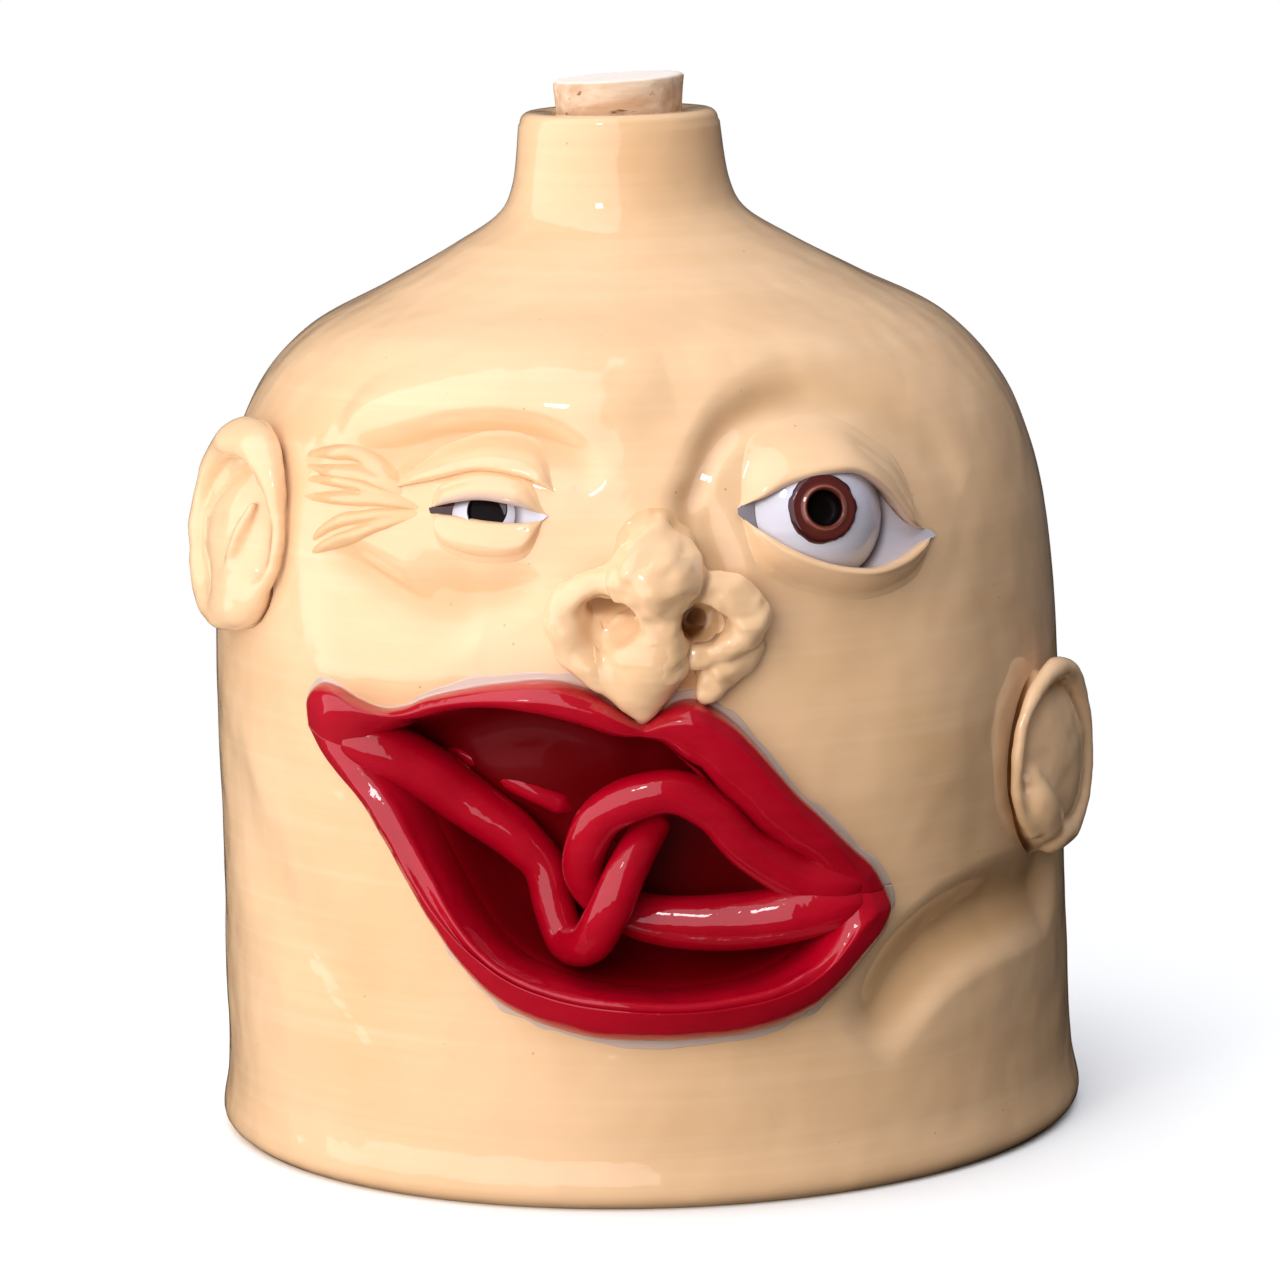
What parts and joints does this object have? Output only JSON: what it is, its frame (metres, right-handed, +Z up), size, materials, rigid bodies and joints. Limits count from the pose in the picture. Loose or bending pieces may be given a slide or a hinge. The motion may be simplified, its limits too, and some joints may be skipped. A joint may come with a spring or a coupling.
{
  "type": "face jug",
  "caption": "Wheel-thrown ceramic jug with a narrow corked neck and a comic face in added clay: knotted red tongue, winking eye and ears of unequal height.",
  "frame": {"origin": "centre of the flat foot, on the surface that the jug stands on", "axes": "+Z up, the face looks toward -Y, +X to the right of someone who looks at the face"},
  "size_m": [0.2131, 0.2267, 0.2545],
  "materials": {
    "clear_glaze": "buff clay under a glossy clear to honey glaze",
    "red_glaze": "glossy crimson glaze, darker where it pools",
    "white_glaze": "glossy cool white glaze",
    "brown_glaze": "glossy red-brown glaze",
    "black_glaze": "glossy black glaze",
    "cork": "natural cork, cut, with dark pits"
  },
  "bodies": {
    "jug": {"jug_body": "clear_glaze", "nose_lump": "clear_glaze", "nose_left_wing": "clear_glaze", "nose_right_wing": "clear_glaze", "philtrum_wedge": "clear_glaze", "left_ear": "clear_glaze", "right_ear": "clear_glaze", "right_upper_lid": "clear_glaze", "right_lower_lid": "clear_glaze", "left_upper_lid": "clear_glaze", "left_lower_lid": "clear_glaze", "left_brow_fold": "clear_glaze", "crows_foot_1": "clear_glaze", "crows_foot_2": "clear_glaze", "crows_foot_3": "clear_glaze", "mouth_lining": "red_glaze", "upper_lip": "red_glaze", "lower_lip": "red_glaze", "tongue_left_rope": "red_glaze", "tongue_right_loop": "red_glaze", "palate_ridge": "red_glaze", "right_eyeball": "white_glaze", "left_eyeball": "white_glaze", "right_iris": "brown_glaze", "right_pupil": "black_glaze", "left_pupil": "black_glaze"},
    "cork": {"cork_stopper": "cork"}
  },
  "joints": [
    {"name": "cork_lift", "type": "slide", "parent": "jug", "child": "cork", "axis": [0, 0, 1], "range_m": [0, 0.045]}
  ]
}
